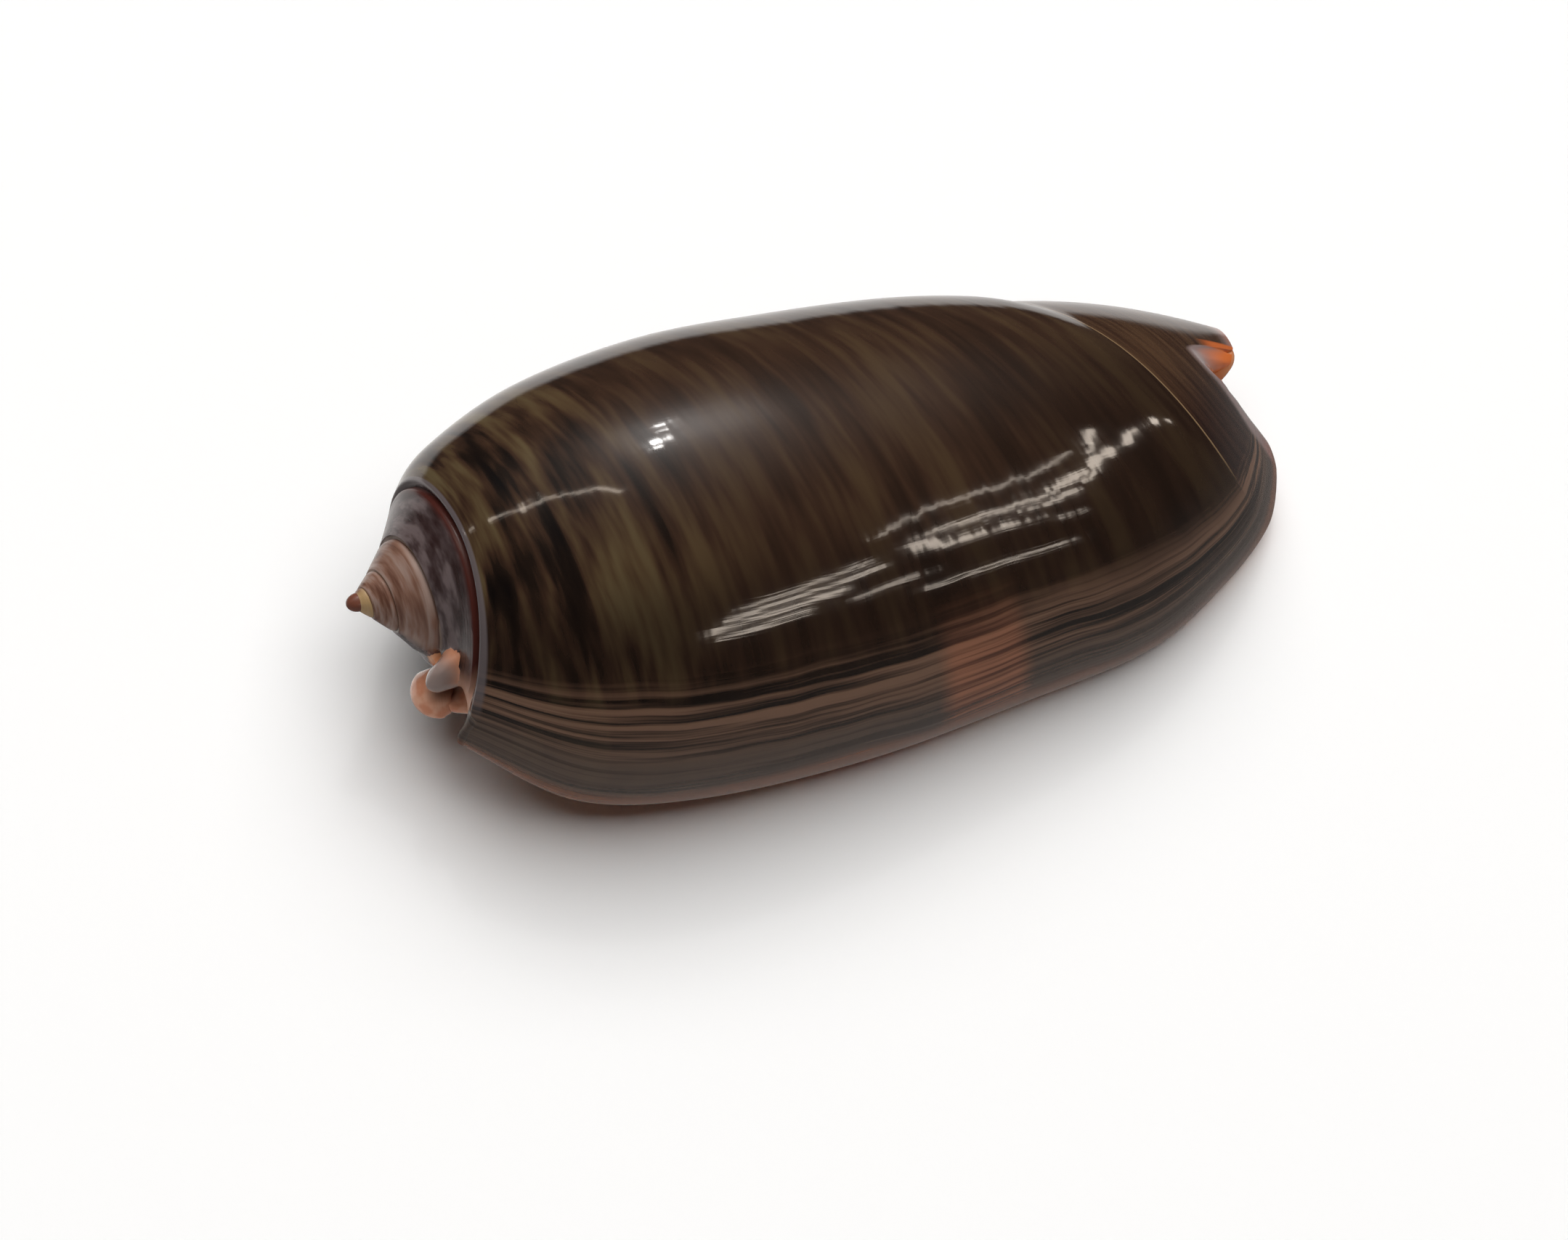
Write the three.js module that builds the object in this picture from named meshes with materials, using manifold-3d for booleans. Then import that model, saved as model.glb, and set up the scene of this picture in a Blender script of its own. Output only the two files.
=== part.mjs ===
// An olive shell: one solid, grown as a spiral sheet about its own axis.
// Millimetres, +Z up. The axis runs along X with the spire towards -X, and the shell lies on its opening.

import * as THREE from 'three';
import { LoftGeometry } from 'three/addons/geometries/LoftGeometry.js';
import { mergeVertices } from 'three/addons/utils/BufferGeometryUtils.js';
import Module from 'manifold-3d';

// Driving dimensions

const SHELL_LENGTH = 65;

// Angles about the axis, in degrees: 0 is the top, 90 the near side (-Y), and growth runs upwards in angle.
const LIP_ANGLE = 134;
const SPIRE_END_ANGLE = 118;
const FILLED_START_ANGLE = -346;
const FILLED_END_ANGLE = -66;

// Each turn doubles the size, and the last third of a turn flares.
const WHORL_GROWTH = 2;
const FLARE_TURNS = 1 / 3;

// Whorl profile at the lip, as shares of the length: distance from the apex, radius, and the share that
// the flare adds to the radius. The first row is the shoulder rim and the last the fasciole line.
const WHORL_PROFILE = [
  { along: 0.078, radius: 0.1427, flare: 0.1 },
  { along: 0.17, radius: 0.1878, flare: 0.267 },
  { along: 0.3, radius: 0.2321, flare: 0.168 },
  { along: 0.48, radius: 0.2547, flare: 0.098 },
  { along: 0.66, radius: 0.2463, flare: 0.088 },
  { along: 0.82, radius: 0.2306, flare: 0.087 },
  { along: 0.93, radius: 0.209, flare: -0.031 },
  { along: 0.987, radius: 0.1877, flare: -0.12 },
];
const SPAN_POINTS = [4, 3, 3, 5, 5, 4, 3];

// Front band between the fasciole line and the tip of the columella, and the notch cut in it.
const TIP_ALONG = 0.975 * SHELL_LENGTH;
const TIP_RADIUS = 2.3;
const TIP_OFFSET = 1.6;
const TIP_OFFSET_ANGLE = -45;
const TIP_ROUND = 0.5;
const TIP_ROUND_SHARE = 0.65;
const BAND_BULGE = 1.1;
const BAND_FLARE = -1.9;
const BAND_REACH = 1.8;
const BAND_POINTS = 6;
const NOTCH_SHARE = 0.68;

// Spire: a cone with hollow sides, its sutures sunk as spiral grooves at a half and a quarter of the rim.
// Near the lip the rim climbs back towards the apex.
const SPIRE_HEIGHT = 0.14 * SHELL_LENGTH;
const SPIRE_SPREAD = 0.106 * SHELL_LENGTH;
const SPIRE_CLIMB = 0.388;
const SPIRE_RADII = [0.13, 0.18, 0.235, 0.25, 0.27, 0.33, 0.4, 0.47, 0.5, 0.535, 0.62, 0.72, 0.82];
const SPIRE_SMALLEST_SIZE = 0.4;
const SUTURE_DEPTH = 0.3;
const SUTURE_SHARE = 0.07;
const CHANNEL_WIDTH = 0.9;
const CHANNEL_DEPTH = 0.75;
const CHANNEL_SLOPE = 0.1;
const FLANGE_DROP = 1.6;
const FLANGE_REACH = 0.5;
const SPIRE_FLOOR = 3.2;
const NUB_RADIUS = 0.8;

// Wall, columella and its folds.
const WALL = 1.7;
const AXIS_GAP = 0.4;
const PILLAR_RADIUS = 0.9;
const COLUMELLA_SWELL = 2;
const SWELL_SPAN = 90;
const FOLD_HEIGHT = 0.25;
const FOLD_START_SPAN = 3;
const FOLD_FADE_ANGLE = -218;
const FOLD_FADE_SPAN = 30;

// Callus at the back corner of the opening.
const CALLUS_CENTRE = { along: 5, radius: 6.8, angle: 150 };
const CALLUS_RADII = { along: 2.2, around: 2.6, out: 2.2 };

// Attitude at rest, in degrees, and the depth of the flats that it rests on.
const PITCH = 4.89;
const ROLL = -17.39;
const REST_FLAT = 0.3;

// Facets: degrees between sections, the tucked start of a stretch, and the rounding of the lip.
const SECTION_STEP = 9;
const TUCK_ANGLE = 6;
const TUCK_DEPTH = 0.4;
const TUCK_GAP = 0.4;
const COVER_ANGLE = 10;
const COVER_DEPTH = 1;
const LIP_ROUND_ANGLE = 3;
const LIP_ROUND_STEPS = [35, 65, 85];
const EDGE_ROUND = 0.35;
const MERGE_DISTANCE = 1e-4;

const SHELL_FINISH = { color: 0x2e2118, roughness: 0.22, metalness: 0 };

// Growth law

const radians = THREE.MathUtils.degToRad;
const ease = (share) => THREE.MathUtils.smoothstep(share, 0, 1);
const turnsOf = (angle) => (angle - LIP_ANGLE) / 360;
const sizeAt = (angle) => WHORL_GROWTH ** turnsOf(angle);
const flareAt = (angle) => ease(1 + turnsOf(angle) / FLARE_TURNS);
const wallAt = (angle) => WALL * (1 + sizeAt(angle)) / 2;
const spireHeight = (radius) => SPIRE_HEIGHT * (1 - Math.exp(-radius / SPIRE_SPREAD));
const point = (along, radius) => new THREE.Vector2(along, radius);

// A section's point (along the axis, out from it) set in the half-plane at an angle.
function place(at, angle) {
  const turn = radians(angle);
  return new THREE.Vector3(at.x, -at.y * Math.sin(turn), at.y * Math.cos(turn));
}

function profileControls(angle) {
  const scale = SHELL_LENGTH * sizeAt(angle);
  const flare = flareAt(angle);
  const swell = COLUMELLA_SWELL * (1 - ease((angle - LIP_ANGLE + 360) / SWELL_SPAN));
  const controls = WHORL_PROFILE.map((row, i) => {
    const thickened = i > 1 ? swell : 0;
    return point(row.along * scale, row.radius * scale * (1 + row.flare * flare) + thickened);
  });
  controls[0].x = spireHeight(controls[0].y) * (1 - SPIRE_CLIMB * flare);
  return controls;
}

function frontBand(line, angle) {
  const flare = flareAt(angle);
  const tip = point(TIP_ALONG, TIP_RADIUS + TIP_OFFSET * Math.cos(radians(angle - TIP_OFFSET_ANGLE)));
  const bulge = point(BAND_REACH * flare, BAND_BULGE + BAND_FLARE * flare);
  const handle = line.clone().add(tip).multiplyScalar(0.5).addScaledVector(bulge, 2);
  return new THREE.QuadraticBezierCurve(line, handle, tip);
}

// Outer profile from the shoulder rim to a share of the front band.
function outerProfile(angle, bandShare) {
  const controls = profileControls(angle);
  const curve = new THREE.SplineCurve(controls);
  const fold = FOLD_HEIGHT * (1 - ease((angle - FOLD_FADE_ANGLE) / FOLD_FADE_SPAN));
  const points = [];
  SPAN_POINTS.forEach((count, span) => {
    for (let i = 0; i < count; i += 1) {
      const at = curve.getPoint((span + i / count) / SPAN_POINTS.length);
      if (span >= FOLD_START_SPAN) at.y += i % 2 === 0 ? fold : -fold;
      points.push(at);
    }
  });
  const band = frontBand(controls[controls.length - 1], angle);
  for (let i = 0; i <= BAND_POINTS; i += 1) points.push(band.getPoint((i / BAND_POINTS) * bandShare));
  return points;
}

function inset(profile, depth) {
  return profile.map((at, i) => {
    const before = profile[Math.max(i - 1, 0)];
    const after = profile[Math.min(i + 1, profile.length - 1)];
    const along = after.clone().sub(before).normalize();
    return point(at.x + along.y * depth, at.y - along.x * depth);
  });
}

// Sections

// Solid from the outer profile to the axis. Under the later spire its rim lies deeper.
function filledSection(angle) {
  const outer = outerProfile(angle, 1);
  const rim = outer[0].clone();
  const wall = wallAt(angle);
  const covered = COVER_DEPTH * (1 - ease((angle - SPIRE_END_ANGLE + 360) / COVER_ANGLE));
  outer[0].add(point(covered, -covered / 2));
  const tipRadius = outer[outer.length - 1].y;
  return [
    point(rim.x + wall, rim.y - wall),
    point(rim.x + wall, AXIS_GAP),
    point(TIP_ALONG + TIP_ROUND, AXIS_GAP),
    point(TIP_ALONG + TIP_ROUND * TIP_ROUND_SHARE, tipRadius * TIP_ROUND_SHARE),
    ...outer.reverse(),
  ];
}

// Thin wall from the shoulder rim to the notch. Its fullness is the share of the thickness kept.
function wallSection(angle, sunk, fullness = 1) {
  const outer = outerProfile(angle, NOTCH_SHARE);
  const wall = wallAt(angle);
  const near = inset(outer, (wall * (1 - fullness)) / 2 + sunk);
  const far = inset(outer, (wall * (1 + fullness)) / 2);
  const last = outer.length - 1;
  const along = outer[last].clone().sub(outer[last - 1]).normalize();
  const edge = near[last].clone().add(far[last]).multiplyScalar(0.5);
  edge.addScaledVector(along, wall * EDGE_ROUND * fullness);
  return [...far, edge, ...near.reverse()];
}

// Spire surface out to the channel beside the rim, with a flange that closes the channel underneath.
function spireSection(angle, sunk) {
  const rim = profileControls(angle)[0];
  const size = Math.max(sizeAt(angle), SPIRE_SMALLEST_SIZE);
  const unflaredRim = WHORL_PROFILE[0].radius * SHELL_LENGTH * sizeAt(angle);
  const lift = (radius) => SPIRE_CLIMB * flareAt(angle) * ease(2 * (radius / rim.y) - 1);
  const surface = (radius) => spireHeight(radius) * (1 - lift(radius));
  const sutureGap = (share) => Math.min(Math.abs(share - 1 / 2), Math.abs(share - 1 / 4) * 2);
  const bands = SPIRE_RADII.map((share) => {
    const groove = SUTURE_DEPTH * size * (1 - ease(sutureGap(share) / SUTURE_SHARE));
    return point(surface(share * unflaredRim) + groove, share * unflaredRim);
  });
  const channel = rim.y - CHANNEL_WIDTH * size;
  const section = [
    point(rim.x + SPIRE_FLOOR * size, AXIS_GAP),
    point(rim.x + SPIRE_FLOOR * size, rim.y - FLANGE_DROP * size),
    point(rim.x + FLANGE_DROP * size, rim.y - FLANGE_REACH * size),
    point(rim.x + CHANNEL_DEPTH * size, channel + CHANNEL_SLOPE * size),
    point(surface(channel) + CHANNEL_SLOPE * size, channel),
    ...bands.reverse(),
    point(spireHeight(AXIS_GAP), AXIS_GAP),
  ];
  return section.map((at) => point(at.x + sunk, at.y));
}

// Solids

const wasm = await Module();
wasm.setup();

function solidOf(geometry) {
  const bare = new THREE.BufferGeometry().copy(geometry);
  bare.deleteAttribute('normal');
  bare.deleteAttribute('uv');
  const merged = mergeVertices(bare, MERGE_DISTANCE);
  return new wasm.Manifold(new wasm.Mesh({
    numProp: 3,
    vertProperties: new Float32Array(merged.attributes.position.array),
    triVerts: new Uint32Array(merged.index.array),
  }));
}

const loft = (sections) => solidOf(new LoftGeometry(sections, { capStart: true, capEnd: true }));

// Sections from one angle to another. A tucked sweep begins sunk inside the stretch grown before it.
function sweep(sectionAt, start, end, tucked) {
  const first = start + TUCK_GAP;
  const steps = Math.round((end - first) / SECTION_STEP);
  const sections = [];
  const add = (angle, sunk) => sections.push(sectionAt(angle, sunk).map((at) => place(at, angle)));
  if (tucked) add(start - TUCK_ANGLE, TUCK_DEPTH);
  for (let i = 0; i <= steps; i += 1) add(first + ((end - first) * i) / steps, 0);
  return sections;
}

// Inner turns, filled to the axis.
const innerTurns = () => loft(sweep(filledSection, FILLED_START_ANGLE, FILLED_END_ANGLE, false));

// Thin outer whorl, ending in a rounded lip.
function outerWall() {
  const roundStart = LIP_ANGLE - LIP_ROUND_ANGLE;
  const sections = sweep(wallSection, FILLED_END_ANGLE, roundStart, true);
  for (const turn of LIP_ROUND_STEPS) {
    const angle = roundStart + LIP_ROUND_ANGLE * Math.sin(radians(turn));
    const section = wallSection(angle, 0, Math.cos(radians(turn)));
    sections.push(section.map((at) => place(at, angle)));
  }
  return loft(sections);
}

// Spire, swept in two half turns because each section reaches the axis.
function spire() {
  const middle = SPIRE_END_ANGLE - 180;
  const early = loft(sweep(spireSection, SPIRE_END_ANGLE - 360, middle, true));
  const late = loft(sweep(spireSection, middle, SPIRE_END_ANGLE, true));
  return early.add(late);
}

// Pillar along the axis, from the rounded nub of the apex to the tip.
function pillar() {
  const outline = [
    point(0, 0),
    point(NUB_RADIUS * 0.7, NUB_RADIUS * 0.3),
    point(NUB_RADIUS, NUB_RADIUS),
    point(NUB_RADIUS, NUB_RADIUS * 2),
    point(PILLAR_RADIUS, SPIRE_HEIGHT),
    point(PILLAR_RADIUS, TIP_ALONG),
    point(0, TIP_ALONG),
  ];
  const sides = 16;
  const geometry = new THREE.LatheGeometry(outline, sides);
  geometry.rotateZ(-Math.PI / 2);
  return solidOf(geometry);
}

function callus() {
  const geometry = new THREE.SphereGeometry(1, 20, 12);
  geometry.scale(CALLUS_RADII.along, CALLUS_RADII.around, CALLUS_RADII.out);
  geometry.rotateX(radians(CALLUS_CENTRE.angle));
  const centre = place(point(CALLUS_CENTRE.along, CALLUS_CENTRE.radius), CALLUS_CENTRE.angle);
  geometry.translate(centre.x, centre.y, centre.z);
  return solidOf(geometry);
}

// Turns the shell to its attitude at rest, centres it over the origin and flattens what it rests on.
function laidDown(solid) {
  const attitude = new THREE.Matrix4().makeRotationY(radians(PITCH));
  attitude.multiply(new THREE.Matrix4().makeRotationX(radians(ROLL)));
  const turned = solid.transform(attitude.elements);
  const { min, max } = turned.boundingBox();
  const placed = turned.translate([-(min[0] + max[0]) / 2, -(min[1] + max[1]) / 2, -min[2] - REST_FLAT]);
  const ground = new THREE.BoxGeometry(2 * SHELL_LENGTH, 2 * SHELL_LENGTH, SHELL_LENGTH);
  ground.translate(0, 0, -SHELL_LENGTH / 2);
  return placed.subtract(solidOf(ground));
}

function geometryOf(solid) {
  const mesh = solid.getMesh();
  const geometry = new THREE.BufferGeometry();
  geometry.setAttribute('position', new THREE.BufferAttribute(new Float32Array(mesh.vertProperties), 3));
  geometry.setIndex(new THREE.BufferAttribute(new Uint32Array(mesh.triVerts), 1));
  geometry.computeVertexNormals();
  return geometry;
}

const grown = innerTurns().add(outerWall()).add(spire()).add(pillar()).add(callus());

const shell = new THREE.Mesh(geometryOf(laidDown(grown)), new THREE.MeshStandardMaterial(SHELL_FINISH));
shell.name = 'shell';

const oliveShell = new THREE.Group();
oliveShell.add(shell);

export default oliveShell;
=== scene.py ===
"""An olive shell: one glossy spiral shell lying on its mouth, on a pale floor under soft light."""

import math

import bmesh
import bpy
import numpy as np
from mathutils import Matrix, Vector


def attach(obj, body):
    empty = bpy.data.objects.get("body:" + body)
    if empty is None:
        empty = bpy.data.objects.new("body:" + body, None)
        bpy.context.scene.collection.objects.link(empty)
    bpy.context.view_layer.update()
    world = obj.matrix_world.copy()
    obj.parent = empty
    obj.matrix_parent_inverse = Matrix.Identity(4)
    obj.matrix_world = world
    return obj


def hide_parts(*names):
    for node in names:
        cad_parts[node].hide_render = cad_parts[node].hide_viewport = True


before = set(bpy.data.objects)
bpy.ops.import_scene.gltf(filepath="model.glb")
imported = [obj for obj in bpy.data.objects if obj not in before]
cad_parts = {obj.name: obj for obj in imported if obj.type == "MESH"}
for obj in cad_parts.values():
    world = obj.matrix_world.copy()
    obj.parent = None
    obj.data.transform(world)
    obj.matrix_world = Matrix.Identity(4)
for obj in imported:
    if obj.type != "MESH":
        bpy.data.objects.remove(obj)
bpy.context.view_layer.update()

# Sizes are in millimetres and angles in degrees, as the shell grew. MM turns them into metres.
MM = 0.001
LENGTH = 65.0

# Angles about the shell's axis: 0 is the top, 90 the near side, and growth runs upwards in angle.
LIP_ANGLE = 134.0
SPIRE_END_ANGLE = 118.0
TURN = 360.0
GROWTH = 2.0
FLARE_TURNS = 1 / 3

# Whorl profile at the lip, as shares of the length: along the axis, radius, and flare of the radius.
WHORL_PROFILE = np.array([
    (0.078, 0.1427, 0.1),
    (0.17, 0.1825, 0.304),
    (0.3, 0.2321, 0.168),
    (0.48, 0.2547, 0.098),
    (0.66, 0.2463, 0.088),
    (0.82, 0.2306, 0.087),
    (0.93, 0.209, -0.031),
    (0.987, 0.1877, -0.12),
])

# Front band, from the fasciole line to the tip of the columella, and the notch cut in it.
TIP_ALONG = 0.975 * LENGTH
TIP_RADIUS = 2.05
TIP_OFFSET = 1.35
TIP_OFFSET_ANGLE = -45.0
BAND_BULGE = 0.7
BAND_FLARE = -1.5
BAND_REACH = 2.1
BAND_LENGTH = 0.7
# Smoothing that softens the line beside the lip: its rounds and rows, and where it fades in before the lip.
LINE_SMOOTHING = 40
LINE_ROWS = 16
LINE_FADE_START = 80.0
LINE_FADE_SPAN = 70.0
# Where the front edge ends, as a share of the band, by angle: whole at first, then the notch, then the lip.
# The blur rounds its corners.
NOTCH_ANGLES = (10, 13, 16, 19, 26, 36, 46, 66, 80, 94, 108, 120, 128, 134)
NOTCH_SHARES = (1, 0.97, 0.75, 0.57, 0.55, 0.56, 0.605, 0.64, 0.61, 0.558, 0.495, 0.44, 0.36, 0.26)
NOTCH_BLUR = np.linspace(-3, 3, 7)
HOLLOW_START_ANGLE = -66.0

# Spire.
SPIRE_HEIGHT = 0.14 * LENGTH
SPIRE_SPREAD = 0.106 * LENGTH
SPIRE_CLIMB = 0.388
SPIRE_TURNS = 4
SUTURE_DEPTH = 0.6
CHANNEL_WIDTH = 0.9
CHANNEL_DEPTH = 0.75
CHANNEL_OPEN_ANGLE = 20.0
NUB_RADIUS = 0.6
NUB_LENGTH = 0.8
NUB_TURN = -3.3

# Wall, columella and callus.
WALL = 1.7
EDGE_BULGE = 0.6
RIM_BULGE = 0.25
PILLAR_RADIUS = 0.9
PILLAR_START = 6.0
COLUMELLA_SWELL = 2.0
SWELL_SPAN = 90.0
FOLD_HEIGHT = 0.2
FOLD_FADE_ANGLE = -218.0
FOLD_FADE_SPAN = 30.0

# Attitude at rest and the place of the apex's axis, as in the solid part.
PITCH = 4.89
ROLL = -17.39
PLACE = Vector((-32.4796, 3.0210, 11.2176))

# Fineness of the sheets.
SPAN_STEPS = 9
BAND_STEPS = 22
ARC_STEPS = 8


def ease(share):
    share = np.clip(share, 0, 1)
    return share * share * (3 - 2 * share)


def size_at(angle):
    return GROWTH ** ((angle - LIP_ANGLE) / TURN)


def flare_at(angle):
    return ease(1 + (angle - LIP_ANGLE) / TURN / FLARE_TURNS)


def wall_at(angle):
    return WALL * (1 + size_at(angle)) / 2


def spire_height(radius):
    return SPIRE_HEIGHT * (1 - np.exp(-radius / SPIRE_SPREAD))


def rim_radius(angle):
    _, radius, flare = WHORL_PROFILE[0]
    return radius * LENGTH * size_at(angle) * (1 + flare * flare_at(angle))


def place(along, radius, angle):
    """Point of a section (along the axis, out from it) in the half-plane at an angle, on the axis."""
    turn = math.radians(angle)
    return Vector((along, -radius * math.sin(turn), radius * math.cos(turn)))


# Shell from its axis to its attitude at rest, in metres.
LAID_DOWN = (
    Matrix.Scale(MM, 4)
    @ Matrix.Translation(PLACE)
    @ Matrix.Rotation(math.radians(PITCH), 4, "Y")
    @ Matrix.Rotation(math.radians(ROLL), 4, "X")
)


def spline(controls, steps):
    """Smooth curve through control points, with some steps to each span."""
    padded = np.vstack([controls[:1], controls, controls[-1:]])
    share = (np.arange(steps) / steps)[:, None]
    points = []
    for i in range(len(controls) - 1):
        before, start, end, after = padded[i:i + 4]
        leave = (end - before) / 2
        arrive = (after - start) / 2
        points.append(
            (2 * start - 2 * end + leave + arrive) * share ** 3
            + (-3 * start + 3 * end - 2 * leave - arrive) * share ** 2
            + leave * share
            + start
        )
    return np.vstack(points)


def tip_radius(angle):
    return TIP_RADIUS + TIP_OFFSET * math.cos(math.radians(angle - TIP_OFFSET_ANGLE))


def outer_profile(angle, band_share, tip_along=TIP_ALONG):
    """Outer surface of the whorl at an angle: shoulder rim, body, then the front band."""
    scale = LENGTH * size_at(angle)
    flare = flare_at(angle)
    along, radius, flares = WHORL_PROFILE.T
    controls = np.column_stack([along * scale, radius * scale * (1 + flares * flare)])
    swell = COLUMELLA_SWELL * (1 - ease((angle - LIP_ANGLE + TURN) / SWELL_SPAN))
    controls[2:, 1] += swell
    controls[0, 0] = spire_height(controls[0, 1]) * (1 - SPIRE_CLIMB * flare)
    body = spline(controls, SPAN_STEPS)

    line = controls[-1]
    tip = np.array([tip_along, tip_radius(angle)])
    bulge = np.array([BAND_REACH * flare, BAND_BULGE + BAND_FLARE * flare])
    handle = (line + tip) / 2 + 2 * bulge
    share = np.linspace(0, band_share, BAND_STEPS + 1)[:, None]
    band = line * (1 - share) ** 2 + handle * 2 * share * (1 - share) + tip * share ** 2
    whole = np.vstack([body, band])
    blunt = whole.copy()
    for _ in range(LINE_SMOOTHING):
        blunt[1:-1] = (blunt[:-2] + 2 * blunt[1:-1] + blunt[2:]) / 4
    near_line = ease(1 - np.abs(np.arange(len(whole)) - len(body)) / LINE_ROWS)[:, None]
    near_lip = ease((angle - LIP_ANGLE + LINE_FADE_START) / LINE_FADE_SPAN)
    return whole + (blunt - whole) * near_line * near_lip


BODY_COUNT = (len(WHORL_PROFILE) - 1) * SPAN_STEPS
OUTER_COUNT = BODY_COUNT + BAND_STEPS + 1
FOLD_STARTS = 3 * SPAN_STEPS
FOLD_COUNT = 13


def folded(outer, angle):
    """Columella folds: low ridges across the profile inside the mouth."""
    height = FOLD_HEIGHT * (1 - ease((angle - FOLD_FADE_ANGLE) / FOLD_FADE_SPAN))
    share = (np.arange(OUTER_COUNT) - FOLD_STARTS) / (OUTER_COUNT - FOLD_STARTS)
    ripple = np.sin(share * FOLD_COUNT * 2 * math.pi)
    fade = ease(share * 5) * ease((1 - share) * 4)
    outer[:, 1] += np.where(share > 0, height * ripple * fade, 0)
    return outer


def inset(profile, depth):
    """The profile moved inwards, square to itself."""
    along = np.gradient(profile, axis=0)
    along /= np.linalg.norm(along, axis=1)[:, None]
    return profile + np.column_stack([along[:, 1], -along[:, 0]]) * np.reshape(depth, (-1, 1))


def arc(start, end, bulge):
    """Rounded edge between two points, standing out to the left of the way from start to end."""
    turn = np.linspace(0, math.pi, ARC_STEPS + 2)[1:-1, None]
    middle = (start + end) / 2
    chord = end - start
    length = max(np.linalg.norm(chord), 1e-9)
    out = np.array([-chord[1], chord[0]]) / length
    return middle - np.cos(turn) * chord / 2 + np.sin(turn) * out * min(bulge, length / 2)


def whorl_section(outer, wall, filled, gap, fullness=1.0, canal=0.0, core=(0, 0)):
    """Closed section: outer surface, front edge, inner surface back to the rim, and rounded rim.
    A filled section's inner surface lies near the axis. In the canal, the front edge slants to the core."""
    near = inset(outer, wall * (1 - fullness) / 2)
    far = inset(outer, wall * (1 + fullness) / 2)
    reach = filled * np.clip(np.arange(OUTER_COUNT) / 2, 0, 1)
    far[:, 0] = np.maximum(far[:, 0], far[0, 0])
    far[:, 1] = far[:, 1] * (1 - reach) + gap * reach
    far[-1] += (core - far[-1]) * canal
    edge = arc(near[-1], far[-1], EDGE_BULGE * fullness * (1 - canal))
    rim = arc(far[0], near[0], RIM_BULGE * fullness)
    return np.vstack([near, edge, far[::-1], rim])


RING_COUNT = 2 * OUTER_COUNT + 2 * ARC_STEPS
# Rows of the inner surface beside the rim that keep the outer colour.
MOUTH_ROWS = 6


def growth_marks(band_share, least_mouth):
    """For each point of a section: place along the shell, share of the mouth, nearness to the front edge."""
    body = np.interp(np.arange(BODY_COUNT) / SPAN_STEPS, range(len(WHORL_PROFILE)), WHORL_PROFILE[:, 0])
    line = WHORL_PROFILE[-1, 0]
    outer = np.concatenate([body, line + BAND_LENGTH * np.linspace(0, band_share, BAND_STEPS + 1)])
    along = np.concatenate([
        outer, np.full(ARC_STEPS, outer[-1]), outer[::-1], np.full(ARC_STEPS, outer[0]),
    ])
    edge = np.linspace(0, 1, ARC_STEPS + 2)[1:-1]
    inside = ease((np.arange(OUTER_COUNT) - MOUTH_ROWS) / MOUTH_ROWS)
    mouth = np.concatenate([np.zeros(OUTER_COUNT), edge, inside[::-1], np.zeros(ARC_STEPS)])
    near = np.concatenate([np.zeros(BODY_COUNT), np.linspace(0, 1, BAND_STEPS + 1)])
    edge = np.concatenate([near, np.ones(ARC_STEPS), near[::-1], np.zeros(ARC_STEPS)])
    return along, np.maximum(mouth, least_mouth), edge


def rolled_sheet(name, angles, section_at, band_share_at, mouth_at):
    """Sheet of closed sections rolled up about the axis, welded along its seam and capped at its ends."""
    bm = bmesh.new()
    growth = bm.loops.layers.uv.new("growth")
    zone = bm.loops.layers.uv.new("zone")
    front = bm.loops.layers.uv.new("front")
    rows = len(angles) - 1
    bmesh.ops.create_grid(bm, x_segments=rows, y_segments=RING_COUNT, size=1)
    sections = [section_at(angle) for angle in angles]
    marks = [growth_marks(band_share_at(angle), mouth_at(angle)) for angle in angles]
    cells = {}
    for vert in bm.verts:
        row = round((vert.co.x + 1) / 2 * rows)
        column = round((vert.co.y + 1) / 2 * RING_COUNT) % RING_COUNT
        cells[vert] = row, column
        vert.co = place(*sections[row][column], angles[row])
    for face in bm.faces:
        for loop in face.loops:
            row, column = cells[loop.vert]
            along, mouth, edge = marks[row]
            loop[growth].uv = (angles[row] / TURN, along[column])
            loop[zone].uv = (mouth[column], 0)
            loop[front].uv = (edge[column], 0)
    bmesh.ops.remove_doubles(bm, verts=bm.verts, dist=1e-4)
    bmesh.ops.holes_fill(bm, edges=[edge for edge in bm.edges if edge.is_boundary])
    return piece_from(name, bm)


def piece_from(name, bm):
    """Object of a finished bmesh, turned to the shell's attitude."""
    bmesh.ops.recalc_face_normals(bm, faces=bm.faces)
    bm.transform(LAID_DOWN)
    mesh = bpy.data.meshes.new(name)
    bm.to_mesh(mesh)
    bm.free()
    piece = bpy.data.objects.new(name, mesh)
    bpy.context.scene.collection.objects.link(piece)
    return piece


# Inner turns: the solid core whose outer surface is the inner wall of the mouth and the columella.
INNER_START_ANGLE = -430.0
INNER_END_ANGLE = -200.0
COVER_DEPTH = 1.0
SINK_DEPTH = 0.6
CORE_LENGTH = TIP_ALONG - 0.25
CORE_SLANT = 1.6
CORE_SLANT_START = 10.0
CORE_SLANT_SPAN = 60.0
CORE_GAP = 0.3
COVER_SPAN = 10.0
SINK_ANGLE = -228.0
SINK_SPAN = 16.0
INNER_ROWS = 116


def core_end(angle):
    """Where the core ends along the axis: cut at a slant behind the notch."""
    return CORE_LENGTH - CORE_SLANT * ease((angle - CORE_SLANT_START) / CORE_SLANT_SPAN)


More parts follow.
